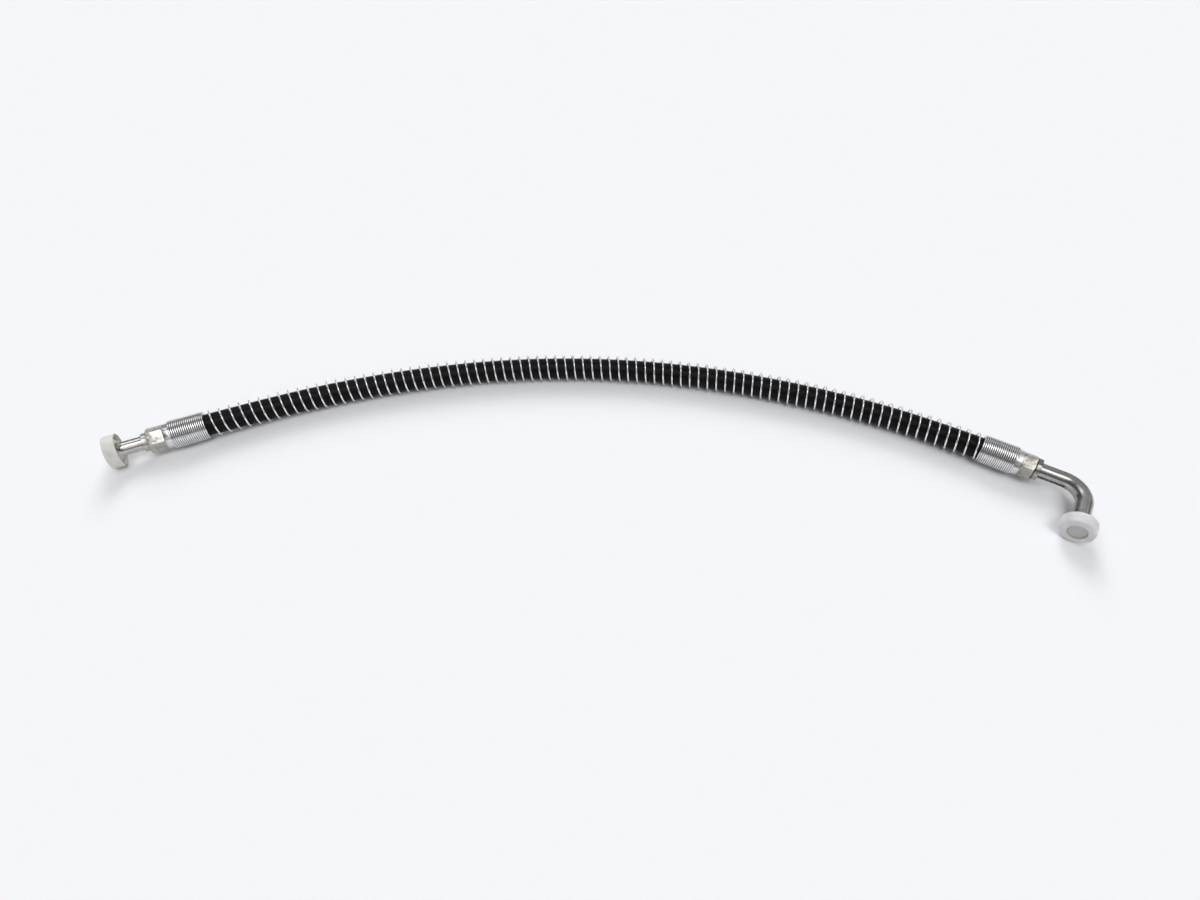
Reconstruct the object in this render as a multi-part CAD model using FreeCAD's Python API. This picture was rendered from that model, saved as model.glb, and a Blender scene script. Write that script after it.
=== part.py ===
import FreeCAD, Part
import math
import os

# Hydraulic hose assembly with a loose spring guard, a straight flange fitting on the left
# and a right-angle flange elbow on the right. Millimetres, +Z up, +X along the hose.

# Hose
hose_diameter = 29.5
hose_bore = 19.0
hose_grip = 42.0                # length of hose inside each ferrule

# Route of the hose's centre line, from its end in the left ferrule to its end in the right one
route = [
    (-563.0, -7.8, 20.95),
    (-466.2, 40.1, 18.45),
    (-355.1, 82.5, 18.45),
    (-236.7, 113.9, 18.45),
    (-116.6, 132.8, 18.45),
    (4.6, 137.8, 18.45),
    (125.8, 128.7, 18.45),
    (246.0, 105.9, 18.45),
    (364.8, 70.4, 18.45),
    (472.0, 25.7, 18.45),
    (565.6, -29.7, 20.95),
]
bend_share = 0.45               # share of the shorter run that an arc takes

# Spring guard
wire_diameter = 2.4
spring_clearance = 1.9          # between hose and wire, all round
spring_turns = 84
spring_seat_gap = 0.1           # between the end coil and the ferrule
spring_start_angle = -216.0     # degrees from the top of the coil, towards -Y
spring_end_lift = 0.9           # the end coils ride up with the ferrules
chords_per_turn = 10
wire_sides = 6

# Ferrule
ferrule_diameter = 39.0
ferrule_mouth_diameter = 37.4
ferrule_mouth_taper = 6.0
rib_count = 18
rib_pitch = 2.47
rib_depth = 0.55
ferrule_neck_diameter = 34.2
ferrule_neck_length = 8.0
ferrule_neck_chamfer = 1.2
neck_flat_count = 8             # flats that the crimping jaws press on the neck
neck_flat_distance = 16.45      # from the axis
left_flat_turn = -60.0          # degrees about the fitting's axis
right_flat_turn = -52.0

# Insert, the turned tail that sits inside the hose
insert_bore = 13.6
tail_setback = 3.0              # tail end behind the ferrule's mouth
tail_lead = 2.0
barb_count = 4
barb_depth = 0.6
barb_groove = 2.6
land_diameter = 22.0
hex_across_flats = 30.0
hex_chamfer = 0.6

left_hex_length = 20.5
left_hex_turn = 24.0
left_collar_wall = 2.8          # round the neck in the collar's socket
left_collar_length = 6.5
right_hex_length = 16.0
right_hex_turn = 26.0
right_groove_wall = 2.2         # round the tube in the collar's socket
right_groove_width = 1.4
right_collar_wall = 4.4
right_collar_length = 5.6
collar_chamfer = 0.6
socket_depth = 8.0

# Straight neck and flange head on the left
left_neck_diameter = 19.2
left_neck_bore = 13.6
left_neck_reach = 28.4          # collar face to the cap's open rim

# Bent tube on the right
tube_diameter = 20.6
tube_wall = 3.2
tube_bend_radius = 30.0
corner_distance = 60.0          # collar face to the corner of the tube's two centre lines
leg_length = 74.0               # corner to the flange face

# Flange heads, face grooves and seals
left_flange_diameter = 41.3
right_flange_diameter = 38.1
flange_thickness = 8.8
flange_shoulder = 1.0           # flat ring left behind the head, round the hollow flare
groove_outer_diameter = 31.9
groove_width = 3.6
groove_depth = 2.4
seal_stand_out = 0.3
face_chamfer = 0.8

# Push-on caps
cap_wall = 1.8
cap_length = 16.5
cap_end_wall = 3.6
cap_edge_radius = 3.0
cap_recess_diameter = 23.4
cap_recess_depth = 1.8
cap_rim_chamfer = 0.5

# Sizes that follow
hose_radius = hose_diameter / 2
rib_length = rib_count * rib_pitch
ferrule_length = rib_length + ferrule_neck_length
cap_depth = cap_length - cap_end_wall
spring_radius = hose_radius + spring_clearance + wire_diameter / 2
wire_side_turn = 2 * math.pi / wire_sides
wire_corner = wire_diameter / 2 * math.sqrt(wire_side_turn / math.sin(wire_side_turn))
spring_axis_height = spring_radius + wire_corner / math.cos(math.pi / chords_per_turn)

UP = FreeCAD.Vector(0, 0, 1)
ORIGIN = FreeCAD.Vector(0, 0, 0)


# Straight runs joined by tangent arcs, as a list of pieces that know their own length
def run_and_arc_path(points):
    points = [FreeCAD.Vector(*point) for point in points]
    pieces = []
    start = points[0]
    for before, corner, after in zip(points, points[1:], points[2:]):
        first, second = corner - before, after - corner
        tangent_length = bend_share * min(first.Length, second.Length)
        half_turn = first.getAngle(second) / 2
        radius = tangent_length / math.tan(half_turn)
        first.normalize()
        second.normalize()
        inward = (second - first).normalize()
        arc_start = corner - first * tangent_length
        arc_end = corner + second * tangent_length
        centre = corner + inward * (radius / math.cos(half_turn))
        pieces.append({"start": start, "end": arc_start, "length": (arc_start - start).Length})
        pieces.append({
            "start": arc_start, "end": arc_end, "middle": centre - inward * radius,
            "centre": centre, "axis": first.cross(second).normalize(), "radius": radius,
            "heading": first, "length": 2 * half_turn * radius,
        })
        start = arc_end
    pieces.append({"start": start, "end": points[-1], "length": (points[-1] - start).Length})
    return pieces


def path_wire(pieces):
    edges = []
    for piece in pieces:
        if "centre" in piece:
            edges.append(Part.Arc(piece["start"], piece["middle"], piece["end"]).toShape())
        else:
            edges.append(Part.LineSegment(piece["start"], piece["end"]).toShape())
    return Part.Wire(edges)


def path_length(pieces):
    return sum(piece["length"] for piece in pieces)


# Point and heading at a distance along the path
def place_on_path(pieces, distance):
    for piece in pieces:
        if distance <= piece["length"] or piece is pieces[-1]:
            break
        distance -= piece["length"]
    if "centre" not in piece:
        heading = (piece["end"] - piece["start"]).normalize()
        return piece["start"] + heading * distance, heading
    turn = FreeCAD.Rotation(piece["axis"], math.degrees(distance / piece["radius"]))
    point = piece["centre"] + turn.multVec(piece["start"] - piece["centre"])
    return point, turn.multVec(piece["heading"])


# Round solid from a closed outline of (radius, distance along the axis) points, where an
# entry of two points is an arc through the first one to the second
def turned(outline):
    edges = []
    here = FreeCAD.Vector(outline[-1][-2], 0, outline[-1][-1])
    for entry in outline:
        end = FreeCAD.Vector(entry[-2], 0, entry[-1])
        if len(entry) == 4:
            edges.append(Part.Arc(here, FreeCAD.Vector(entry[0], 0, entry[1]), end).toShape())
        else:
            edges.append(Part.LineSegment(here, end).toShape())
        here = end
    return Part.Face(Part.Wire(edges)).revolve(ORIGIN, UP, 360)


# Outline entry of a quarter circle that leaves its start along the axis and ends square to it
def quarter_arc(start, end):
    lean = 1 - math.sqrt(0.5)
    middle = (start[0] + (end[0] - start[0]) * lean, end[1] - (end[1] - start[1]) * lean)
    return (*middle, *end)


def rod(radius, start, end):
    return Part.makeCylinder(radius, end - start, FreeCAD.Vector(0, 0, start))


# Tube of one section swept along a wire
def tube(wire, radius, start, heading):
    ring = Part.Wire(Part.makeCircle(radius, start, heading))
    return wire.makePipeShell([ring], True, False)


# Placement of a fitting: local +Z runs outwards from the ferrule's mouth, local +X is level
# and to the right of someone who looks along it, local +Y is down
def fitting_place(mouth, outward):
    right = outward.cross(UP).normalize()
    down = outward.cross(right)
    return FreeCAD.Placement(mouth, FreeCAD.Rotation(right, down, outward, "ZXY"))


def hose():
    pieces = run_and_arc_path(route)
    wire = path_wire(pieces)
    start, heading = place_on_path(pieces, 0)
    solid = tube(wire, hose_radius, start, heading).cut(tube(wire, hose_bore / 2, start, heading))
    section = math.pi * (hose_radius ** 2 - (hose_bore / 2) ** 2)
    print("hose length", round(path_length(pieces), 1))
    print("bend radii", [round(piece["radius"]) for piece in pieces if "radius" in piece])
    print("hose volume over section times length", round(solid.Volume / (section * path_length(pieces)), 4))
    return solid


# The guard's wire as straight chords with mitred corners, its section as large as the round wire's
def spring_guard():
    last = len(route) - 1
    axis_points = [
        (x, y, spring_axis_height + (spring_end_lift if place in (0, last) else 0))
        for place, (x, y, height) in enumerate(route)
    ]
    axis = run_and_arc_path(axis_points)
    end_inset = hose_grip + wire_corner + spring_seat_gap
    coil_length = path_length(axis) - 2 * end_inset
    chord_count = spring_turns * chords_per_turn

    corners = []
    for step in range(chord_count + 1):
        centre, heading = place_on_path(axis, end_inset + coil_length * step / chord_count)
        angle = math.radians(spring_start_angle + 360 * step / chords_per_turn)
        side = heading.cross(UP).normalize()
        upward = side.cross(heading)
        corners.append(centre + (upward * math.cos(angle) + side * math.sin(angle)) * spring_radius)

    headings = [(after - before).normalize() for before, after in zip(corners, corners[1:])]
    outward = (corners[0] - place_on_path(axis, end_inset)[0]).normalize()
    across = headings[0].cross(outward).normalize()
    outward = across.cross(headings[0])
    ring = []
    for side_number in range(wire_sides):
        angle = wire_side_turn * (side_number + 0.5)
        ring.append(corners[0] + (outward * math.cos(angle) + across * math.sin(angle)) * wire_corner)
    rings = [ring]
    for place, heading in enumerate(headings, start=1):
        mitre = heading + headings[min(place, chord_count - 1)]
        rings.append([
            point + heading * ((corners[place] - point).dot(mitre) / heading.dot(mitre))
            for point in rings[-1]
        ])

    faces = [Part.Face(Part.makePolygon(end + end[:1])) for end in (rings[0], rings[-1])]
    for near, far in zip(rings, rings[1:]):
        for this, following in zip(range(wire_sides), [*range(1, wire_sides), 0]):
            side = [near[this], near[following], far[following], far[this], near[this]]
            faces.append(Part.Face(Part.makePolygon(side)))
    shell = Part.makeCompound(faces)
    shell.sewShape()
    solid = Part.makeSolid(shell.Shells[0])
    if solid.Volume < 0:
        solid.reverse()
    print("spring pitch", round(coil_length / spring_turns, 2), "faces", len(solid.Faces))
    return solid


def ferrule(flat_turn):
    crest = ferrule_diameter / 2
    mouth = ferrule_mouth_diameter / 2
    outline = [(hose_radius, 0), (mouth - rib_depth, 0)]
    for rib in range(rib_count):
        middle = (rib + 0.5) * rib_pitch
        top = min(crest, mouth + (crest - mouth) * middle / ferrule_mouth_taper)
        outline += [(top, middle), (top - rib_depth, (rib + 1) * rib_pitch)]
    neck = ferrule_neck_diameter / 2
    outline += [
        (neck, rib_length),
        (neck, ferrule_length - ferrule_neck_chamfer),
        (neck - ferrule_neck_chamfer, ferrule_length),
        (land_diameter / 2, ferrule_length),
        (land_diameter / 2, hose_grip),
        (hose_radius, hose_grip),
    ]
    shell = turned(outline)
    for number in range(neck_flat_count):
        jaw = Part.makeBox(neck, 2 * neck, ferrule_neck_length,
                           FreeCAD.Vector(neck_flat_distance, -neck, rib_length))
        jaw.rotate(ORIGIN, UP, flat_turn + 360 / neck_flat_count * (number + 0.5))
        shell = shell.cut(jaw)
    return shell


# Hexagon with the corners chamfered off at both ends
def hexagon(start, length, turn):
    corner = hex_across_flats / 2 / math.cos(math.pi / 6)
    points = []
    for side in range(7):
        angle = math.radians(turn + 60 * side)
        points.append(FreeCAD.Vector(corner * math.cos(angle), corner * math.sin(angle), start))
    prism = Part.Face(Part.makePolygon(points)).extrude(UP * length)
    end_radius = corner - hex_chamfer * 2
    outline = [
        (0, start), (end_radius, start), (corner + hex_chamfer, start + hex_chamfer * 2),
        (corner + hex_chamfer, start + length - hex_chamfer * 2),
        (end_radius, start + length), (0, start + length),
    ]
    return prism.common(turned(outline))


# Barbed tail and land, which both inserts share
def insert_tail():
    grip = hose_bore / 2
    first = tail_setback + tail_lead
    barb_pitch = (hose_grip - first) / barb_count
    outline = [(0, tail_setback), (grip - barb_depth, tail_setback), (grip, first)]
    for barb in range(barb_count):
        end = first + (barb + 1) * barb_pitch
        outline += [(grip, end - barb_groove), (grip - barb_depth, end - barb_groove), (grip, end)]
    outline += [(land_diameter / 2, hose_grip), (land_diameter / 2, ferrule_length), (0, ferrule_length)]
    return turned(outline)


def collar(radius, start, length):
    return turned([
        (0, start), (radius, start), (radius, start + length - collar_chamfer),
        (radius - collar_chamfer, start + length), (0, start + length),
    ])


def insert(hex_length, hex_turn, groove, collar_radius, collar_length, socket_radius):
    hex_end = ferrule_length + hex_length
    body = insert_tail().fuse(hexagon(ferrule_length, hex_length, hex_turn))
    collar_start = hex_end
    if groove:
        groove_radius, groove_length = groove
        collar_start = hex_end + groove_length
        body = body.fuse(rod(groove_radius, hex_end, collar_start))
    body = body.fuse(collar(collar_radius, collar_start, collar_length))
    end = collar_start + collar_length
    body = body.cut(rod(insert_bore / 2, 0, end))
    body = body.cut(rod(socket_radius, end - socket_depth, end))
    return body.removeSplitter(), end


# Hollow flare, shoulder, face and seal groove of a flange head whose face is at the given place
def flange_outline(face, neck_radius, head):
    shoulder = face - flange_thickness
    flare_end = head - face_chamfer - flange_shoulder
    flare_start = (neck_radius, shoulder - (flare_end - neck_radius))
    return [
        flare_start,
        quarter_arc(flare_start, (flare_end, shoulder)),
        (head - face_chamfer, shoulder),
        (head, shoulder + face_chamfer),
        (head, face - face_chamfer),
        (head - face_chamfer, face),
        (groove_outer_diameter / 2, face),
        (groove_outer_diameter / 2, face - groove_depth),
        (groove_outer_diameter / 2 - groove_width, face - groove_depth),
        (groove_outer_diameter / 2 - groove_width, face),
    ]


def left_flange_stub(collar_end, face):
    neck = left_neck_diameter / 2
    hole = left_neck_bore / 2
    outline = [(hole, collar_end - socket_depth), (neck, collar_end - socket_depth)]
    outline += flange_outline(face, neck, left_flange_diameter / 2)
    outline += [(hole, face)]
    return turned(outline)


def right_flange_head(face):
    outer = tube_diameter / 2
    hole = outer - tube_wall
    head_outline = flange_outline(face, outer + face_chamfer, right_flange_diameter / 2)
    tube_seat = face - groove_depth - face_chamfer
    return turned([
        (outer, head_outline[0][1]), *head_outline, (hole, face), (hole, tube_seat), (outer, tube_seat),
    ])


# Seal pressed a little oval in its groove
def o_ring(face):
    outer = groove_outer_diameter / 2
    inner = outer - groove_width
    bottom = face - groove_depth
    top = face + seal_stand_out
    middle = (bottom + top) / 2
    shoulder = groove_width / 4
    return turned([
        (inner, middle), (inner + shoulder, bottom), (outer - shoulder, bottom),
        (outer, middle), (outer - shoulder, top), (inner + shoulder, top),
    ])


# Cap pushed over a flange head: a cup with a rounded front edge and a round sunk middle
def cap(face, flange_radius):
    outside = flange_radius + cap_wall
    floor_place = face + seal_stand_out
    rim = floor_place - cap_depth
    front = floor_place + cap_end_wall
    recess = cap_recess_diameter / 2
    edge_start = (outside, front - cap_edge_radius)
    return turned([
        (0, floor_place), (flange_radius, floor_place), (flange_radius, rim),
        (outside - cap_rim_chamfer, rim), (outside, rim + cap_rim_chamfer), edge_start,
        quarter_arc(edge_start, (outside - cap_edge_radius, front)), (recess, front),
        (recess - cap_rim_chamfer, front - cap_recess_depth), (0, front - cap_recess_depth),
    ])


# The bent tube, from the bottom of its socket to just behind the flange face
def right_elbow_tube(collar_end, corner, leg_heading, leg_end):
    start = FreeCAD.Vector(0, 0, collar_end - socket_depth)
    bend_start = FreeCAD.Vector(0, 0, corner.z - tube_bend_radius)
    bend_end = corner + leg_heading * tube_bend_radius
    centre = bend_start + leg_heading * tube_bend_radius
    bend_middle = centre + (corner - centre).normalize() * tube_bend_radius
    end = corner + leg_heading * leg_end
    wire = Part.Wire([
        Part.LineSegment(start, bend_start).toShape(),
        Part.Arc(bend_start, bend_middle, bend_end).toShape(),
        Part.LineSegment(bend_end, end).toShape(),
    ])
    outer = tube_diameter / 2
    return tube(wire, outer, start, UP).cut(tube(wire, outer - tube_wall, start, UP))


def mouth_and_outward(end_point, next_point):
    end, following = FreeCAD.Vector(*end_point), FreeCAD.Vector(*next_point)
    outward = (end - following).normalize()
    return end - outward * hose_grip, outward


def placed(shape, place):
    moved = shape.copy()
    moved.Placement = place.multiply(moved.Placement)
    return moved


os.makedirs("parts", exist_ok=True)

left_mouth, left_outward = mouth_and_outward(route[0], route[1])
right_mouth, right_outward = mouth_and_outward(route[-1], route[-2])
left_place = fitting_place(left_mouth, left_outward)
right_place = fitting_place(right_mouth, right_outward)

left_insert_body, left_collar_end = insert(
    left_hex_length, left_hex_turn, None, left_neck_diameter / 2 + left_collar_wall,
    left_collar_length, left_neck_diameter / 2)
right_insert_body, right_collar_end = insert(
    right_hex_length, right_hex_turn, (tube_diameter / 2 + right_groove_wall, right_groove_width),
    tube_diameter / 2 + right_collar_wall, right_collar_length, tube_diameter / 2)
left_face = left_collar_end + left_neck_reach + cap_depth - seal_stand_out

# The leg is level but for the little that lets its cap's rim meet the floor
corner = FreeCAD.Vector(0, 0, right_collar_end + corner_distance)
corner_height = right_place.multVec(corner).z
leg_reach = leg_length + seal_stand_out + cap_end_wall - cap_edge_radius
leg_roll = math.asin((corner_height - right_flange_diameter / 2 - cap_wall) / leg_reach)
leg_heading = FreeCAD.Vector(math.cos(leg_roll), math.sin(leg_roll), 0)
leg_down = UP.cross(leg_heading)
leg_place = right_place.multiply(
    FreeCAD.Placement(corner, FreeCAD.Rotation(leg_down, UP, leg_heading, "ZXY")))
tube_end = leg_length - groove_depth - face_chamfer

nodes = {
    "hose": hose(),
    "spring_guard": spring_guard(),
    "left_ferrule": placed(ferrule(left_flat_turn), left_place),
    "left_insert": placed(left_insert_body, left_place),
    "left_flange_stub": placed(left_flange_stub(left_collar_end, left_face), left_place),
    "left_o_ring": placed(o_ring(left_face), left_place),
    "left_cap": placed(cap(left_face, left_flange_diameter / 2), left_place),
    "right_ferrule": placed(ferrule(right_flat_turn), right_place),
    "right_insert": placed(right_insert_body, right_place),
    "right_elbow_tube": placed(
        right_elbow_tube(right_collar_end, corner, leg_heading, tube_end), right_place),
    "right_flange_head": placed(right_flange_head(leg_length), leg_place),
    "right_o_ring": placed(o_ring(leg_length), leg_place),
    "right_cap": placed(cap(leg_length, right_flange_diameter / 2), leg_place),
}

for name, shape in nodes.items():
    solid = shape.Solids[0] if len(shape.Solids) == 1 else shape
    solid.exportStep(f"parts/{name}.step")
    box = solid.optimalBoundingBox(False, False)
    print(name, solid.isValid(), round(solid.Volume), [round(v, 2) for v in (
        box.XMin, box.YMin, box.ZMin, box.XMax, box.YMax, box.ZMax)])
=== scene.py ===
import math

import bmesh
import bpy
from mathutils import Matrix, Vector


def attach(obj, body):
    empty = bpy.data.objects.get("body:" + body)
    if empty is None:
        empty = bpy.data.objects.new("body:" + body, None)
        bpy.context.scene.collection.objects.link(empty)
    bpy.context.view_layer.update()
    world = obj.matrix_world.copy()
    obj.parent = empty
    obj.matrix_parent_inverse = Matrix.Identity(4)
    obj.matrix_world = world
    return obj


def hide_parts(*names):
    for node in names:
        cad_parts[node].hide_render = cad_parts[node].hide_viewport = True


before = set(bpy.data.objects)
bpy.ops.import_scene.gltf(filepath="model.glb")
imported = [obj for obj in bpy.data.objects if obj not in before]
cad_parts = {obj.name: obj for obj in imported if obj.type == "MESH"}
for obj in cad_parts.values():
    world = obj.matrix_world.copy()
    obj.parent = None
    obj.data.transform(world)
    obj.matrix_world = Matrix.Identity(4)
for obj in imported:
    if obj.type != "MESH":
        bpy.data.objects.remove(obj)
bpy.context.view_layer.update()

# Hydraulic hose assembly in a loose spring guard. Routes and places are in metres, the
# other settings in millimetres and degrees, brought to metres as each piece is placed.

millimetre = 0.001
toMetres = Matrix.Scale(millimetre, 4)
upward = Vector((0, 0, 1))
scene = bpy.context.scene


# Lines and angles

def splineCurve(name, points):
    curve = bpy.data.curves.new(name, "CURVE")
    curve.dimensions = "3D"
    curve.resolution_u = curve.render_resolution_u = 12
    spline = curve.splines.new("NURBS")
    spline.points.add(len(points) - 1)
    for control, point in zip(spline.points, points):
        control.co = (*point, 1)
    spline.order_u = 3              # set after the points, or it stays at straight runs
    spline.use_endpoint_u = True
    return curve


def meshOfCurve(curve):
    holder = bpy.data.objects.new(curve.name + "Holder", curve)
    scene.collection.objects.link(holder)
    mesh = bpy.data.meshes.new_from_object(holder)
    bpy.data.objects.remove(holder)
    return mesh


def lineOfCurve(curve):
    return [vertex.co.copy() for vertex in meshOfCurve(curve).vertices]


def runningLengths(points):
    lengths = [0.0]
    for before, after in zip(points, points[1:]):
        lengths.append(lengths[-1] + (after - before).length)
    return lengths


def quarterTurn(steps):
    return [math.radians(90 / steps * step) for step in range(steps + 1)]


# Turned shapes, round the z axis, from a closed outline of (radius, along) points

fineSteps = 112                     # for the shapes whose round edge shows most


def turnedShape(outline, steps=96):
    shape = bmesh.new()
    points = [shape.verts.new((radius, 0, along)) for radius, along in outline]
    rim = [shape.edges.new(pair) for pair in zip(points, points[1:] + points[:1])]
    bmesh.ops.spin(shape, geom=points + rim, cent=(0, 0, 0), axis=(0, 0, 1),
                   angle=math.tau, steps=steps, use_merge=True)
    bmesh.ops.remove_doubles(shape, verts=shape.verts, dist=0.0005)
    bmesh.ops.recalc_face_normals(shape, faces=shape.faces)
    return shape


# Flats cut on a round shape: everything outside each flat goes, and the cut is closed
def cutFlats(shape, count, halfWidth, turn):
    for number in range(count):
        angle = math.radians(turn + 360 / count * (number + 0.5))
        outward = Vector((math.cos(angle), math.sin(angle), 0))
        cut = bmesh.ops.bisect_plane(
            shape, geom=shape.verts[:] + shape.edges[:] + shape.faces[:],
            plane_co=outward * halfWidth, plane_no=outward, clear_outer=True)
        cutEdges = [item for item in cut["geom_cut"]
                    if isinstance(item, bmesh.types.BMEdge) and item.is_boundary]
        bmesh.ops.holes_fill(shape, edges=cutEdges, sides=0)
    bmesh.ops.recalc_face_normals(shape, faces=shape.faces)


def sharpEdges(shape, sharperThan):
    return [edge for edge in shape.edges
            if edge.is_manifold and math.degrees(edge.calc_face_angle()) > sharperThan]


def roundEdges(shape, size, sharperThan=28):
    bmesh.ops.bevel(shape, geom=sharpEdges(shape, sharperThan), offset=size,
                    offset_type="OFFSET", segments=2, profile=0.5, affect="EDGES",
                    material=-1, clamp_overlap=True)


def addPiece(name, data, material, replaced):
    piece = bpy.data.objects.new(name, data)
    scene.collection.objects.link(piece)
    data.materials.clear()
    data.materials.append(material)
    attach(piece, "root")
    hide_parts(replaced)
    return piece


def finishPiece(name, shape, place, material, replaced, creaseAngle=35):
    for face in shape.faces:
        face.smooth = True
    for edge in sharpEdges(shape, creaseAngle):
        edge.smooth = False
    mesh = bpy.data.meshes.new(name)
    shape.to_mesh(mesh)
    shape.free()
    mesh.transform(place @ toMetres)
    addPiece(name, mesh, material, replaced)


# Node helpers for the materials. A range is a pair, as in (low, high).

def isSocket(value):
    return isinstance(value, bpy.types.NodeSocket)


def feed(tree, node, inputs):
    for socket, value in dict(inputs).items():
        if isSocket(value):
            tree.links.new(value, node.inputs[socket])
        else:
            node.inputs[socket].default_value = value


def addNode(tree, kind, inputs=(), **options):
    made = tree.nodes.new(kind)
    for option, value in options.items():
        setattr(made, option, value)
    feed(tree, made, inputs)
    return made


def newMaterial(name):
    material = bpy.data.materials.new(name)
    material.use_nodes = True
    tree = material.node_tree
    return material, tree, tree.nodes["Principled BSDF"]


def objectCoordinates(tree):
    return addNode(tree, "ShaderNodeTexCoord").outputs["Object"]


# Object coordinates brought to a fitting's own axes and millimetres
def fittingCoordinates(tree, place):
    return addNode(tree, "ShaderNodeMapping", {
        "Vector": objectCoordinates(tree), "Location": place.to_translation(),
        "Rotation": place.to_euler(), "Scale": (millimetre,) * 3},
        vector_type="TEXTURE").outputs["Vector"]


def stretched(tree, vector, scale):
    mapping = addNode(tree, "ShaderNodeMapping", {"Vector": vector, "Scale": scale})
    return mapping.outputs["Vector"]


def partsOf(tree, vector):
    return addNode(tree, "ShaderNodeSeparateXYZ", {"Vector": vector}).outputs


def mathOf(tree, operation, *values):
    made = addNode(tree, "ShaderNodeMath", enumerate(values), operation=operation)
    return made.outputs["Value"]


def mixColours(tree, share, first, second):
    first, second = (value if isSocket(value) else (*value, 1) for value in (first, second))
    made = addNode(tree, "ShaderNodeMix", {0: share, 6: first, 7: second}, data_type="RGBA")
    return made.outputs[2]


def spread(tree, value, source, target=(0, 1), way="LINEAR"):
    return addNode(tree, "ShaderNodeMapRange", {
        "Value": value, "From Min": source[0], "From Max": source[1],
        "To Min": target[0], "To Max": target[1]}, interpolation_type=way).outputs["Result"]


def noiseOf(tree, vector, scale, detail=3.0, roughness=0.5):
    return addNode(tree, "ShaderNodeTexNoise", {
        "Vector": vector, "Scale": scale, "Detail": detail,
        "Roughness": roughness}).outputs["Fac"]


def bumpOf(tree, height, strength, distance, under=None):
    bump = addNode(tree, "ShaderNodeBump", {
        "Height": height, "Strength": strength, "Distance": distance})
    if under is not None:
        feed(tree, bump, {"Normal": under})
    return bump.outputs["Normal"]


# Route of the hose, and where its fittings sit

hoseSettings = {
    "diameter": 29.5,
    "grip": 42.0,                   # length of hose inside each ferrule
    "realLength": 1184.0,
    "route": [
        (-0.5630, -0.0078, 0.02095), (-0.4662, 0.0401, 0.0176), (-0.3551, 0.0825, 0.0172),
        (-0.2367, 0.1139, 0.0172), (-0.1166, 0.1328, 0.0172), (0.0046, 0.1378, 0.0172),
        (0.1258, 0.1287, 0.0172), (0.2460, 0.1059, 0.0172), (0.3648, 0.0704, 0.0172),
        (0.4720, 0.0257, 0.0176), (0.5656, -0.0297, 0.02095),
    ],
    # where the straight runs into the fittings come from
    "firstRunFrom": (-0.4662, 0.0401, 0.01845),
    "lastRunFrom": (0.4720, 0.0257, 0.01845),
    "blacks": ((0.003, 0.003, 0.0035), (0.006, 0.006, 0.007)),
    "dustColour": (0.02, 0.02, 0.02),
}


# Local +Z runs outwards from the ferrule's mouth, +X is level, +Y is down
def fittingPlace(end, inside):
    end, inside = Vector(end), Vector(inside)
    outward = (end - inside).normalized()
    right = outward.cross(upward).normalized()
    down = outward.cross(right)
    place = Matrix((right, down, outward)).transposed().to_4x4()
    place.translation = end - outward * hoseSettings["grip"] * millimetre
    return place


leftPlace = fittingPlace(hoseSettings["route"][0], hoseSettings["firstRunFrom"])
rightPlace = fittingPlace(hoseSettings["route"][-1], hoseSettings["lastRunFrom"])


# Hose

def hoseRubber():
    material, tree, surface = newMaterial("hoseRubber")
    position = objectCoordinates(tree)
    blotches = noiseOf(tree, position, 45, 4)
    dust = spread(tree, noiseOf(tree, position, 160, 6, 0.65), (0.62, 0.80), (0, 0.3))
    colour = mixColours(tree, spread(tree, blotches, (0.3, 0.7)), *hoseSettings["blacks"])
    feed(tree, surface, {
        "Base Color": mixColours(tree, dust, colour, hoseSettings["dustColour"]),
        "Roughness": spread(tree, blotches, (0.3, 0.7), (0.30, 0.42)),
        "Specular IOR Level": 0.1,
        "Normal": bumpOf(tree, noiseOf(tree, position, 900, 2), 0.12, 0.0003)})
    return material


hoseCurve = splineCurve("hoseBody", hoseSettings["route"])
hoseLine = lineOfCurve(hoseCurve)
hoseCurve.bevel_depth = hoseSettings["diameter"] / 2 * millimetre
hoseCurve.bevel_resolution = 14
hoseCurve.use_fill_caps = True
hoseBody = addPiece("hoseBody", hoseCurve, hoseRubber(), "hose")
print("hose, line length", round(runningLengths(hoseLine)[-1], 4))


# Spring guard, a round wire wound right-handed over the hose and loose on it

springSettings = {
    "wire": 2.4,
    "coilRadius": 17.85,
    "turns": 84,
    "pointsPerTurn": 28,
    "startAngle": -216.0,
    "endInset": 43.4,
    "route": [
        (-0.5630, -0.0078, 0.0210), (-0.4662, 0.0401, 0.0193), (-0.3551, 0.0825, 0.01905),
        (-0.2367, 0.1139, 0.01905), (-0.1166, 0.1328, 0.01905), (0.0046, 0.1378, 0.01905),
        (0.1258, 0.1287, 0.01905), (0.2460, 0.1062, 0.01905), (0.3648, 0.0709, 0.01905),
        (0.4720, 0.0266, 0.0192), (0.5656, -0.0297, 0.0216),
    ],
    "colours": ((0.97, 0.97, 0.98), (0.84, 0.83, 0.85)),
    "roughness": (0.11, 0.22),
}


def springSteel():
    material, tree, surface = newMaterial("springSteel")
    position = objectCoordinates(tree)
    tarnish = noiseOf(tree, position, 70, 5, 0.6)
    share = spread(tree, tarnish, (0.35, 0.7))
    feed(tree, surface, {
        "Base Color": mixColours(tree, share, *springSettings["colours"]),
        "Roughness": spread(tree, tarnish, (0.3, 0.7), springSettings["roughness"]),
        "Metallic": 0.88,
        "Normal": bumpOf(tree, noiseOf(tree, position, 1600, 2), 0.06, 0.0002)})
    return material


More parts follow.
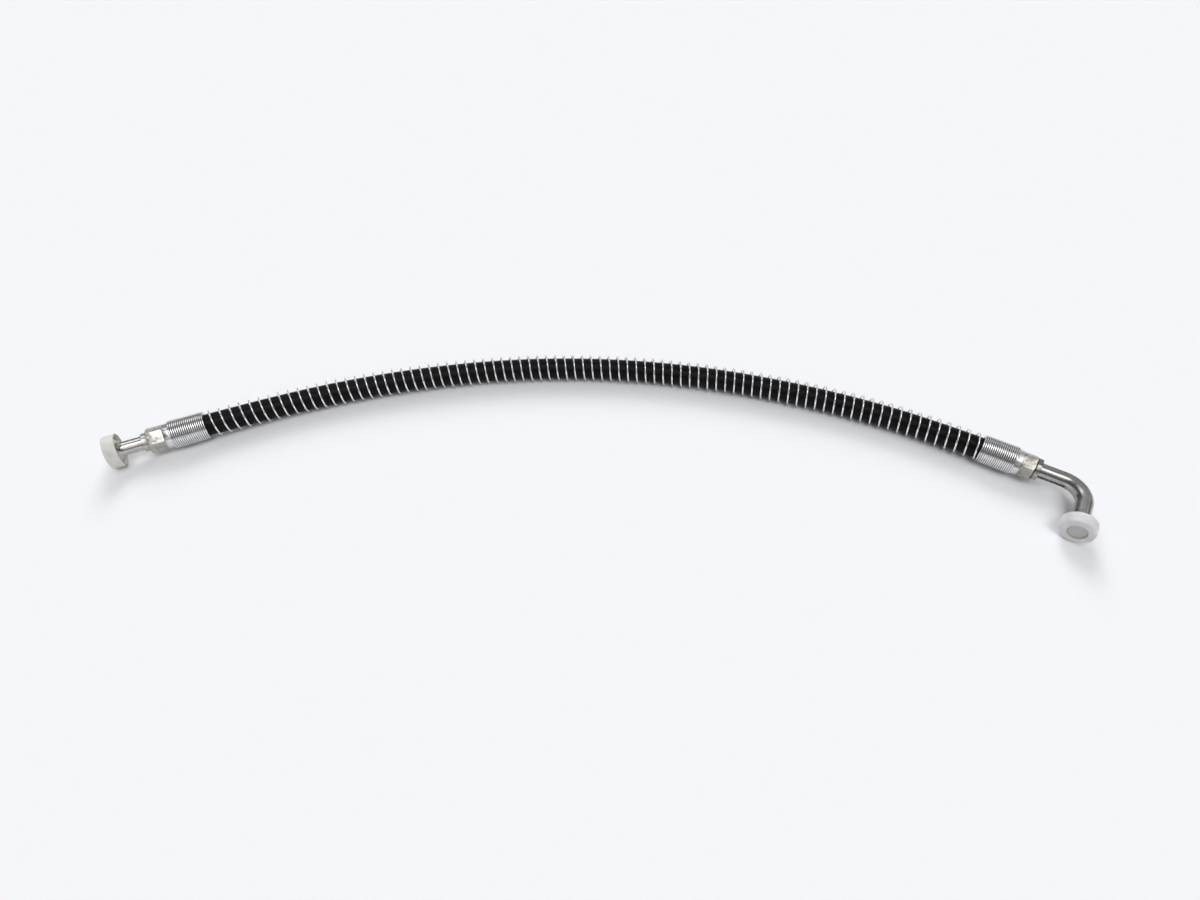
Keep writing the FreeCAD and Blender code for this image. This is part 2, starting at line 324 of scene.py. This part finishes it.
axisLine = lineOfCurve(splineCurve("springAxis", springSettings["route"]))
axisLengths = runningLengths(axisLine)
inset = springSettings["endInset"] * millimetre
coilLength = axisLengths[-1] - 2 * inset
wirePoints = []
reached = 1
for step in range(springSettings["turns"] * springSettings["pointsPerTurn"] + 1):
    turnsDone = step / springSettings["pointsPerTurn"]
    distance = inset + coilLength * turnsDone / springSettings["turns"]
    while reached < len(axisLine) - 1 and axisLengths[reached] < distance:
        reached += 1
    before, after = axisLine[reached - 1], axisLine[reached]
    passed, ahead = axisLengths[reached - 1], axisLengths[reached]
    centre = before.lerp(after, (distance - passed) / (ahead - passed))
    heading = (after - before).normalized()
    side = heading.cross(upward).normalized()
    angle = math.radians(springSettings["startAngle"] + 360 * turnsDone)
    out = side.cross(heading) * math.cos(angle) + side * math.sin(angle)
    wirePoints.append(centre + out * springSettings["coilRadius"] * millimetre)

springCurve = bpy.data.curves.new("springWire", "CURVE")
springCurve.dimensions = "3D"
wireLine = springCurve.splines.new("POLY")
wireLine.points.add(len(wirePoints) - 1)
for point, position in zip(wireLine.points, wirePoints):
    point.co = (*position, 1)
springCurve.bevel_depth = springSettings["wire"] / 2 * millimetre
springCurve.bevel_resolution = 4
springCurve.use_fill_caps = True
springWire = addPiece("springWire", meshOfCurve(springCurve), springSteel(),
                      "spring_guard")
print("spring, faces", len(springWire.data.polygons))


# Ferrules, ribbed shells crimped on the hose, with pressed flats on their necks

ferruleSettings = {
    "inside": 14.9,
    "mouth": 18.7,
    "mouthEdge": [(1.2, 0.0), (0.6, 0.25)],             # inwards, along
    "crest": 19.5,
    "mouthTaper": 6.0,
    "ribs": 18,
    "ribPitch": 2.47,
    "ribDepth": 0.7,
    # share of the pitch, and share of the depth below the crest
    "ribProfile": [(0.10, 0.62), (0.24, 0.16), (0.42, 0.0), (0.62, 0.0), (0.80, 0.16),
                   (0.94, 0.62), (1.0, 1.0)],
    "land": 11.0,
    "neck": 17.1,
    "neckLength": 8.0,
    "neckOverlap": 0.6,
    "neckEdge": [(0.0, 1.2), (0.35, 0.35), (1.2, 0.0)],  # inwards, back from the end
    "pressedFlats": 8,
    "flatReach": 16.45,
    "leftFlatTurn": -60.0,
    "rightFlatTurn": -52.0,
    "colours": ((0.84, 0.84, 0.84), (0.64, 0.64, 0.64)),
    # the dark colour painted as shade into the valleys between the ribs
    "valleyShadeColour": (0.13, 0.13, 0.14),
    "roughness": (0.16, 0.26),
    "neckRoughness": 0.34,
}
ribsEnd = ferruleSettings["ribs"] * ferruleSettings["ribPitch"]
ferruleEnd = ribsEnd + ferruleSettings["neckLength"]

steelSettings = {
    "spotColour": (0.34, 0.25, 0.16),
    "streakColour": (0.22, 0.21, 0.20),
    # the dark colour painted as shade into the corners of the fittings
    "cornerShadeColour": (0.05, 0.045, 0.04),
    "turningMarks": 0.1,            # strength, less on the ribs
    "ribMarks": 0.02,
}


# Dark shade painted into the corners of a fitting, at (distance along it, width) places
def paintedCornerShade(tree, local, colour, corners):
    along = partsOf(tree, local)["Z"]
    patches = spread(tree, noiseOf(tree, local, 0.3, 3), (0.3, 0.55), (0.45, 0.9))
    for distance, width in corners:
        within = mathOf(tree, "COMPARE", along, distance, width / 2)
        share = mathOf(tree, "MULTIPLY", within, patches)
        colour = mixColours(tree, share, colour, steelSettings["cornerShadeColour"])
    return colour


# Steel in two shades with faint turning marks. Colours are bright then dull, roughness is
# smooth then rough. Warmth adds brown spots, ribs paints shade into the valleys between the
# ribs, wavy gives a hexagon's uneven, streaked faces, and corners get painted shade.
def plated(name, place, colours, roughness, warmth=0.0, ribs=False, wavy=0.0, corners=()):
    material, tree, surface = newMaterial(name)
    local = fittingCoordinates(tree, place)
    stains = noiseOf(tree, local, 0.16, 5, 0.6)
    colour = mixColours(tree, spread(tree, stains, (0.35, 0.72)), *colours)
    polish = spread(tree, stains, (0.3, 0.75), roughness)
    marks, waves = steelSettings["turningMarks"], None
    if warmth:
        spots = spread(tree, noiseOf(tree, local, 1.4, 3), (0.5, 0.85), (0, warmth))
        colour = mixColours(tree, spots, colour, steelSettings["spotColour"])
    if ribs:
        along = partsOf(tree, local)["Z"]
        within = mathOf(tree, "LESS_THAN", along, ribsEnd)
        fromValley = mathOf(tree, "PINGPONG", along, ferruleSettings["ribPitch"] / 2)
        # painted shade in the valleys between the ribs
        valleyShade = mathOf(tree, "MULTIPLY", spread(tree, fromValley, (0.1, 0.7), (0.65, 0)), within)
        colour = mixColours(tree, valleyShade, colour, ferruleSettings["valleyShadeColour"])
        polish = spread(tree, within, (0, 1), (ferruleSettings["neckRoughness"], polish))
        marks = steelSettings["ribMarks"]
    if wavy:
        drawn = noiseOf(tree, stretched(tree, local, (0.2, 0.2, 2.6)), 0.25, 4, 0.6)
        streaks = spread(tree, drawn, (0.45, 0.75), (0, 0.5))
        colour = mixColours(tree, streaks, colour, steelSettings["streakColour"])
        waves = bumpOf(tree, noiseOf(tree, local, 0.11, 1), 1.0, wavy * millimetre)
    lathe = noiseOf(tree, stretched(tree, local, (0.5, 0.5, 14)), 1.2, 3)
    feed(tree, surface, {
        "Base Color": paintedCornerShade(tree, local, colour, corners),
        "Roughness": polish,
        "Metallic": 1,
        "Normal": bumpOf(tree, lathe, marks, 0.00003, waves)})
    return material


def ferrule(name, place, flatTurn, replaced):
    s = ferruleSettings
    inside, mouth, pitch, land = s["inside"], s["mouth"], s["ribPitch"], s["land"]
    outline = [(inside, 0.0)] + [(mouth - inward, along) for inward, along in s["mouthEdge"]]
    for rib in range(s["ribs"]):
        start = rib * pitch
        widened = mouth + (s["crest"] - mouth) * (start + pitch / 2) / s["mouthTaper"]
        crest = min(s["crest"], widened)
        for share, drop in s["ribProfile"]:
            outline.append((crest - drop * s["ribDepth"], start + share * pitch))
    outline += [(land, ribsEnd), (land, hoseSettings["grip"]), (inside, hoseSettings["grip"])]
    shell = turnedShape(outline, fineSteps)

    neckStart = ribsEnd - s["neckOverlap"]
    neckOutline = [(land, neckStart), (s["neck"], neckStart)]
    neckOutline += [(s["neck"] - inward, ferruleEnd - back) for inward, back in s["neckEdge"]]
    neckShape = turnedShape(neckOutline + [(land, ferruleEnd)])
    cutFlats(neckShape, s["pressedFlats"], s["flatReach"], flatTurn)
    neckMesh = bpy.data.meshes.new(name + "Neck")
    neckShape.to_mesh(neckMesh)
    neckShape.free()
    shell.from_mesh(neckMesh)
    material = plated(name + "Steel", place, s["colours"], s["roughness"], ribs=True)
    finishPiece(name, shell, place, material, replaced, creaseAngle=50)


ferrule("leftFerrule", leftPlace, ferruleSettings["leftFlatTurn"], "left_ferrule")
ferrule("rightFerrule", rightPlace, ferruleSettings["rightFlatTurn"], "right_ferrule")
print("ferrules")


# Inserts, the hexagons and collars that show between ferrule and tube

insertSettings = {
    "hexFlats": 30.0,
    "hexChamfer": 0.6,
    "bore": 6.8,
    "edge": 0.28,
    "roughness": (0.24, 0.40),
    "wavy": 0.8,
    # widths of painted shade behind the collar (here) and where the hexagon meets the collar (in
    # each side's settings)
    "collarShade": 0.7,
    "left": {
        "hexLength": 20.5, "hexTurn": 24.0, "groove": None, "collar": 12.4, "collarLength": 6.5,
        "colours": ((0.64, 0.625, 0.595), (0.42, 0.405, 0.375)), "warmth": 0.3, "cornerShade": 0.9},
    "right": {
        "hexLength": 16.0, "hexTurn": 26.0, "groove": (12.5, 1.4), "collar": 14.7,
        "collarLength": 5.6,
        "colours": ((0.46, 0.44, 0.415), (0.31, 0.29, 0.27)), "warmth": 0.5, "cornerShade": 1.6},
}


def insert(name, place, settings, replaced):
    s = insertSettings
    hexCorner = s["hexFlats"] / math.sqrt(3)
    back = 2 * s["hexChamfer"]
    faceRadius, fullRadius = hexCorner - back, hexCorner + s["hexChamfer"]
    hexEnd = ferruleEnd + settings["hexLength"]
    outline = [(s["bore"], ferruleEnd), (faceRadius, ferruleEnd), (fullRadius, ferruleEnd + back),
               (fullRadius, hexEnd - back), (faceRadius, hexEnd)]
    collarStart = hexEnd
    if settings["groove"]:
        radius, width = settings["groove"]
        collarStart += width
        outline += [(radius, hexEnd), (radius, collarStart)]
    collarEnd = collarStart + settings["collarLength"]
    outline += [(settings["collar"], collarStart), (settings["collar"], collarEnd),
                (s["bore"], collarEnd)]
    shape = turnedShape(outline)
    cutFlats(shape, 6, s["hexFlats"] / 2, settings["hexTurn"])
    roundEdges(shape, s["edge"])
    # painted shade where the hexagon meets the collar and where the collar ends
    corners = [((hexEnd + collarStart) / 2, settings["cornerShade"]), (collarEnd, s["collarShade"])]
    material = plated(name + "Steel", place, settings["colours"], s["roughness"],
                      warmth=settings["warmth"], wavy=s["wavy"], corners=corners)
    finishPiece(name, shape, place, material, replaced, creaseAngle=20)
    return collarEnd


leftCollarEnd = insert("leftInsert", leftPlace, insertSettings["left"], "left_insert")
rightCollarEnd = insert("rightInsert", rightPlace, insertSettings["right"], "right_insert")
print("inserts, collars end at", round(leftCollarEnd, 2), round(rightCollarEnd, 2))


# Flange heads and caps

flangeSettings = {
    "leftHead": 20.65,
    "rightHead": 19.05,
    "thickness": 8.8,
    "shoulder": 1.8,                # flat behind the head, with the edge's chamfer
    "edge": 0.8,
    "groove": (15.95, 3.6, 2.4),    # outer radius, width, depth
    "sealStandsOut": 0.3,
}
stubSettings = {
    "radius": 9.6,
    "bore": 6.8,
    "reach": 28.4,
    "socket": 1.0,                  # how far it goes into the collar
    # width of the painted shade where the stub meets the collar
    "cornerShade": 1.4,
    "colours": ((0.54, 0.53, 0.515), (0.43, 0.42, 0.40)),
    "roughness": (0.18, 0.28),
    "warmth": 0.25,
}
capSettings = {
    "wall": 1.8,
    "length": 16.5,
    "endWall": 3.6,
    "edge": 3.0,
    "play": 0.05,                   # between cap and head
    "innerCorner": 0.6,
    "rimEdge": 0.5,
    "leadIn": 0.4,
    "recess": 11.7,
    "recessDepth": 1.8,
    "recessEdge": [(0.7, 0.0), (0.1, 0.35), (-0.3, 1.2), (-0.9, 1.8)],  # outwards, down
    "gateMark": [(0.9, 0.0), (0.55, 0.4), (0.0, 0.5)],                  # radius, height
    "leftColours": ((0.79, 0.78, 0.74), (0.71, 0.69, 0.64), (0.54, 0.49, 0.40)),
    "rightColours": ((0.77, 0.765, 0.79), (0.70, 0.695, 0.71), (0.58, 0.55, 0.50)),
    "sunkColour": (0.56, 0.55, 0.555),
    "ringColour": (0.52, 0.46, 0.34),
    "dirtColour": (0.30, 0.22, 0.14),
}
capDepth = capSettings["length"] - capSettings["endWall"]
leftFace = leftCollarEnd + stubSettings["reach"] + capDepth - flangeSettings["sealStandsOut"]


# A neck that flares in a hollow quarter circle to the head's back, then edge, face and groove
def flangeOutline(face, neckRadius, head):
    s = flangeSettings
    shoulder = face - s["thickness"]
    grooveOut, grooveWide, grooveDeep = s["groove"]
    grooveIn, grooveFloor = grooveOut - grooveWide, face - grooveDeep
    flare = head - s["shoulder"] - neckRadius
    outline = [(neckRadius + flare * (1 - math.cos(angle)),
                shoulder - flare + flare * math.sin(angle)) for angle in quarterTurn(10)]
    return outline + [
        (head - s["edge"], shoulder), (head, shoulder + s["edge"]), (head, face),
        (grooveOut, face), (grooveOut, grooveFloor), (grooveIn, grooveFloor), (grooveIn, face)]


# Milky plastic, greyer in the sunk middle, with a yellowed ring round it and a dirty rim
def capPlastic(name, place, colours, rim):
    material, tree, surface = newMaterial(name)
    local = fittingCoordinates(tree, place)
    cloud = noiseOf(tree, local, 0.12, 3)
    smudge = noiseOf(tree, local, 0.5, 6, 0.7)
    clean, clouded, smudged = colours
    colour = mixColours(tree, spread(tree, cloud, (0.35, 0.7)), clean, clouded)
    colour = mixColours(tree, spread(tree, smudge, (0.62, 0.8), (0, 0.4)), colour, smudged)

    recess = capSettings["recess"]
    parts = partsOf(tree, local)
    flat = addNode(tree, "ShaderNodeCombineXYZ", {"X": parts["X"], "Y": parts["Y"]})
    radius = addNode(tree, "ShaderNodeVectorMath", {0: flat.outputs["Vector"]},
                     operation="LENGTH").outputs["Value"]
    radius = mathOf(tree, "ADD", radius, spread(tree, cloud, (0.3, 0.7), (-0.5, 0.5)))
    middle = spread(tree, radius, (recess - 0.2, recess - 1.4))
    ring = mathOf(tree, "MULTIPLY",
                  spread(tree, radius, (recess - 1.9, recess - 0.9)),
                  spread(tree, radius, (recess + 0.8, recess - 0.1)))
    rimDirt = mathOf(tree, "MULTIPLY",
                     spread(tree, parts["Z"], (rim + 0.2, rim + 1.0), (0.75, 0)),
                     spread(tree, smudge, (0.35, 0.6), (0.4, 1)))
    colour = mixColours(tree, middle, colour, capSettings["sunkColour"])
    colour = mixColours(tree, ring, colour, capSettings["ringColour"])
    colour = mixColours(tree, rimDirt, colour, capSettings["dirtColour"])
    feed(tree, surface, {
        "Base Color": colour,
        "Roughness": spread(tree, smudge, (0.3, 0.8), (0.34, 0.5)),
        "Subsurface Weight": 0.6,
        "Subsurface Radius": (1.0, 0.95, 0.85),
        "Subsurface Scale": 0.004,
        "Normal": bumpOf(tree, smudge, 0.15, 0.0002)})
    return material


def cap(name, place, face, head, colours, replaced):
    s = capSettings
    outside, edge, rimEdge = head + s["wall"], s["edge"], s["rimEdge"]
    inner = face + flangeSettings["sealStandsOut"]
    rim, front = inner - capDepth, inner + s["endWall"]
    sunk = front - s["recessDepth"]
    outline = [(head + s["play"], inner - s["innerCorner"]), (head + s["play"], rim + rimEdge),
               (head + s["leadIn"], rim), (outside - rimEdge, rim), (outside, rim + rimEdge)]
    outline += [(outside - edge * (1 - math.cos(angle)), front - edge * (1 - math.sin(angle)))
                for angle in quarterTurn(8)]
    outline += [(s["recess"] + outwards, front - down) for outwards, down in s["recessEdge"]]
    outline += [(radius, sunk + raised) for radius, raised in s["gateMark"]]
    outline += [(0, inner), (head - s["innerCorner"], inner)]
    plastic = capPlastic(name + "Plastic", place, colours, rim)
    finishPiece(name, turnedShape(outline, fineSteps), place, plastic, replaced,
                creaseAngle=40)


stubStart = leftCollarEnd - stubSettings["socket"]
stubOutline = [(stubSettings["bore"], stubStart), (stubSettings["radius"], stubStart)]
stubOutline += flangeOutline(leftFace, stubSettings["radius"], flangeSettings["leftHead"])
stubOutline += [(stubSettings["bore"], leftFace)]
# the stub's steel, with shade painted where it meets the collar
stubSteel = plated("leftStubSteel", leftPlace, stubSettings["colours"], stubSettings["roughness"],
                   warmth=stubSettings["warmth"],
                   corners=[(leftCollarEnd, stubSettings["cornerShade"])])
finishPiece("leftStub", turnedShape(stubOutline), leftPlace, stubSteel,
            "left_flange_stub")
cap("leftCap", leftPlace, leftFace, flangeSettings["leftHead"],
    capSettings["leftColours"], "left_cap")
print("left flange and cap")


# Bent tube on the right: straight, bend, straight, with its leg level but for the little
# that lets the cap's rim meet the floor

tubeSettings = {
    "radius": 10.3,
    "wall": 3.2,
    "bendRadius": 30.0,
    "corner": 60.0,
    "leg": 74.0,
    "socket": 2.0,                  # how far it goes into the collar
    "endBehindFace": 3.2,
    "headNeckStart": 18.8,
    "headNeckWider": 0.3,
    "headOverlap": 0.5,
    # width of the painted shade where the tube meets the collar
    "cornerShade": 1.4,
    "colours": ((0.46, 0.455, 0.45), (0.36, 0.355, 0.345)),
    "roughness": (0.22, 0.34),
    # scorched strip low on the front: how far down and how far from the collar, each as
    # the place where it has gone and the place where it is full
    "scorchTop": (0.0, 0.6),
    "scorchBottom": (5.6, 4.8),
    "scorchReach": (37.0, 33.0),
    "scorchColour": (0.030, 0.018, 0.012),
    "headColours": ((0.68, 0.67, 0.65), (0.54, 0.52, 0.50)),
    "headRoughness": (0.2, 0.34),
    "headWarmth": 0.35,
}
corner = Vector((0, 0, rightCollarEnd + tubeSettings["corner"]))
cornerHeight = (rightPlace @ (corner * millimetre)).z / millimetre
legReach = (tubeSettings["leg"] + flangeSettings["sealStandsOut"]
            + capSettings["endWall"] - capSettings["edge"])
legRoll = math.asin((cornerHeight - flangeSettings["rightHead"] - capSettings["wall"]) / legReach)
legHeading = Vector((math.cos(legRoll), math.sin(legRoll), 0))
legDown = upward.cross(legHeading)
legPlace = Matrix((legDown, upward, legHeading)).transposed().to_4x4()
legPlace.translation = corner * millimetre
legPlace = rightPlace @ legPlace


def tubeSteel():
    s = tubeSettings
    material, tree, surface = newMaterial("tubeSteel")
    local = fittingCoordinates(tree, rightPlace)
    stains = noiseOf(tree, local, 0.10, 5, 0.6)
    drawn = noiseOf(tree, stretched(tree, local, (1.0, 1.0, 0.12)), 2.2, 3)
    ragged = noiseOf(tree, local, 0.35, 4, 0.65)
    parts = partsOf(tree, local)
    goneAt, fullAt = (rightCollarEnd + distance for distance in s["scorchReach"])
    strip = spread(tree, parts["Y"], s["scorchTop"])
    for limit in (spread(tree, parts["Y"], s["scorchBottom"]),
                  spread(tree, parts["Z"], (goneAt, fullAt)),
                  spread(tree, ragged, (0.36, 0.44))):
        strip = mathOf(tree, "MULTIPLY", strip, limit)
    colour = mixColours(tree, spread(tree, stains, (0.35, 0.72)), *s["colours"])
    colour = mixColours(tree, strip, colour, s["scorchColour"])
    feed(tree, surface, {
        # with shade painted where the tube meets the collar
        "Base Color": paintedCornerShade(tree, local, colour, [(rightCollarEnd, s["cornerShade"])]),
        "Roughness": spread(tree, stains, (0.3, 0.75), s["roughness"]),
        "Metallic": spread(tree, strip, (0, 1), (1, 0.2)),
        "Normal": bumpOf(tree, drawn, 0.1, 0.00005)})
    return material


# In the right fitting's own axes, where the tube sets out along +Z
def elbowCurve():
    bend = tubeSettings["bendRadius"]
    start = upward * (rightCollarEnd - tubeSettings["socket"])
    bendStart = corner - upward * bend
    bendEnd = corner + legHeading * bend
    end = corner + legHeading * (tubeSettings["leg"] - tubeSettings["endBehindFace"])
    pull = bend * 4 / 3 * math.tan(math.radians(90) / 4)    # handles of a quarter circle
    short = 5.0                                             # handles on the straight runs
    curve = bpy.data.curves.new("elbowTube", "CURVE")
    curve.dimensions = "3D"
    curve.resolution_u = curve.render_resolution_u = 28
    spline = curve.splines.new("BEZIER")
    spline.bezier_points.add(3)
    handles = [
        (start, start - upward, start + upward * short),
        (bendStart, bendStart - upward * short, bendStart + upward * pull),
        (bendEnd, bendEnd - legHeading * pull, bendEnd + legHeading * short),
        (end, end - legHeading * short, end + legHeading)]
    for point, (middle, before, after) in zip(spline.bezier_points, handles):
        point.handle_left_type = point.handle_right_type = "FREE"
        point.co, point.handle_left, point.handle_right = middle, before, after
    curve.bevel_depth = tubeSettings["radius"]
    curve.bevel_resolution = 18
    curve.use_fill_caps = True
    return curve


elbowMesh = meshOfCurve(elbowCurve())
elbowMesh.transform(rightPlace @ toMetres)
elbowMesh.shade_smooth()
addPiece("elbowTube", elbowMesh, tubeSteel(), "right_elbow_tube")

face = tubeSettings["leg"]
tubeRadius = tubeSettings["radius"]
tubeBore = tubeRadius - tubeSettings["wall"]
tubeEnd = face - tubeSettings["endBehindFace"]
seatRadius = tubeRadius - tubeSettings["headOverlap"]
headOutline = [(seatRadius, face - tubeSettings["headNeckStart"])]
headOutline += flangeOutline(face, tubeRadius + tubeSettings["headNeckWider"],
                             flangeSettings["rightHead"])
headOutline += [(tubeBore, face), (tubeBore, tubeEnd), (seatRadius, tubeEnd)]
headSteel = plated("rightHeadSteel", legPlace, tubeSettings["headColours"],
                   tubeSettings["headRoughness"], warmth=tubeSettings["headWarmth"])
finishPiece("rightHead", turnedShape(headOutline), legPlace, headSteel,
            "right_flange_head")
cap("rightCap", legPlace, face, flangeSettings["rightHead"],
    capSettings["rightColours"], "right_cap")
print("elbow, right flange and cap")


# Seals, hidden behind the caps, keep their solids

def sealRubber():
    material, tree, surface = newMaterial("sealRubber")
    grain = noiseOf(tree, objectCoordinates(tree), 700, 3)
    feed(tree, surface, {
        "Base Color": mixColours(tree, grain, (0.012, 0.012, 0.012), (0.03, 0.03, 0.03)),
        "Roughness": 0.6})
    return material


seal = sealRubber()
for nodeName in ("left_o_ring", "right_o_ring"):
    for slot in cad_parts[nodeName].material_slots:
        slot.material = seal


# Floor, light and camera

studioSettings = {
    "floorColour": (0.913, 0.921, 0.939),
    "floorMottle": 0.002,
    "floorReach": 60.0,                 # metres
    "skyColour": (0.985, 0.99, 1.0),
    # the sky's dim light at its foot and its top, and the heights between which it changes
    "skyLight": (0.08, 0.16),
    "skyRange": (0.2, 0.8),
    # the pale backdrop, and the heights where it starts to fade and has gone
    "backdrop": 0.84,
    "backdropReach": (0.01, 0.24),
    # direction, strength, and the angles from it where the glow is full and where it has gone
    "glows": [
        ((0.03, -0.29, 0.96), 3.0, 7.0, 20.0),
        ((0.44, -0.30, 0.85), 2.2, 6.0, 17.0),
        ((0.15, -0.72, 0.68), 1.0, 9.0, 24.0),
        ((-0.40, 0.42, 0.81), 1.8, 7.0, 20.0),
        ((0.22, 0.70, 0.68), 0.45, 8.0, 36.0),
        ((-0.13, 0.89, 0.44), 0.6, 5.0, 11.0),
        ((0.77, 0.36, 0.53), 0.8, 4.0, 12.0),
    ],
    # strength, spread, height and turn of the soft suns, which the metal doesn't reflect
    "suns": {
        "backSun": (1.35, 29.0, 35.0, 4.0),
        "frontSun": (0.38, 30.0, 62.0, 180.0),
    },
}


def floorPaper():
    material, tree, surface = newMaterial("floorPaper")
    fibre = noiseOf(tree, objectCoordinates(tree), 400, 2)
    colour, mottle = Vector(studioSettings["floorColour"]), studioSettings["floorMottle"]
    feed(tree, surface, {
        "Base Color": mixColours(tree, fibre, colour * (1 - mottle), colour * (1 + mottle)),
        "Roughness": 0.9,
        "Specular IOR Level": 0.0})
    return material


floorShape = bmesh.new()
bmesh.ops.create_grid(floorShape, x_segments=1, y_segments=1, size=studioSettings["floorReach"])
floorMesh = bpy.data.meshes.new("floor")
floorShape.to_mesh(floorMesh)
floorShape.free()
floorMesh.materials.append(floorPaper())
floor = bpy.data.objects.new("floor", floorMesh)
scene.collection.objects.link(floor)

for name, (strength, spreadAngle, sunHeight, turn) in studioSettings["suns"].items():
    sun = bpy.data.objects.new(name, bpy.data.lights.new(name, "SUN"))
    sun.data.energy = strength
    sun.data.angle = math.radians(spreadAngle)
    sun.rotation_euler = (math.radians(sunHeight - 90), 0, math.radians(turn))
    sun.visible_glossy = False
    scene.collection.objects.link(sun)

# The sky is dim near the horizon, with soft glows in it for the metal to reflect
world = bpy.data.worlds.new("studio")
world.use_nodes = True
scene.world = world
tree = world.node_tree
sky = addNode(tree, "ShaderNodeTexCoord").outputs["Generated"]
height = partsOf(tree, sky)["Z"]
light = spread(tree, height, studioSettings["skyRange"], studioSettings["skyLight"], "SMOOTHSTEP")
for direction, strength, full, gone in studioSettings["glows"]:
    nearness = addNode(tree, "ShaderNodeVectorMath", {0: sky, 1: Vector(direction).normalized()},
                       operation="DOT_PRODUCT").outputs["Value"]
    limits = [math.cos(math.radians(angle)) for angle in (gone, full)]
    glow = spread(tree, nearness, limits, (0, strength), "SMOOTHSTEP")
    light = mathOf(tree, "ADD", light, glow)

# A pale backdrop behind the floor, for the camera and for what metal and plastic show
rays = addNode(tree, "ShaderNodeLightPath").outputs
seen = mathOf(tree, "MAXIMUM", rays["Is Camera Ray"], rays["Is Glossy Ray"])
seen = mathOf(tree, "MAXIMUM", seen, rays["Is Transmission Ray"])
backdrop = spread(tree, height, studioSettings["backdropReach"],
                  (studioSettings["backdrop"], 0), "SMOOTHSTEP")
light = mathOf(tree, "ADD", light, mathOf(tree, "MULTIPLY", backdrop, seen))
feed(tree, tree.nodes["Background"], {
    "Color": (*studioSettings["skyColour"], 1), "Strength": light})

cameraSettings = {
    "place": (0.0144, -0.6588, 0.7832),     # metres
    "lens": 22.19,
    "sensor": 36.0,
    "downward": 50.2,
    "roll": 0.91,
}
camera = bpy.data.objects.new("camera", bpy.data.cameras.new("camera"))
camera.data.lens = cameraSettings["lens"]
camera.data.sensor_width = cameraSettings["sensor"]
camera.data.sensor_fit = "HORIZONTAL"
camera.matrix_world = (
    Matrix.Translation(cameraSettings["place"])
    @ Matrix.Rotation(math.radians(90 - cameraSettings["downward"]), 4, "X")
    @ Matrix.Rotation(math.radians(cameraSettings["roll"]), 4, "Z"))
scene.collection.objects.link(camera)
scene.camera = camera
scene.view_settings.view_transform = "Standard"
print("floor, light and camera")
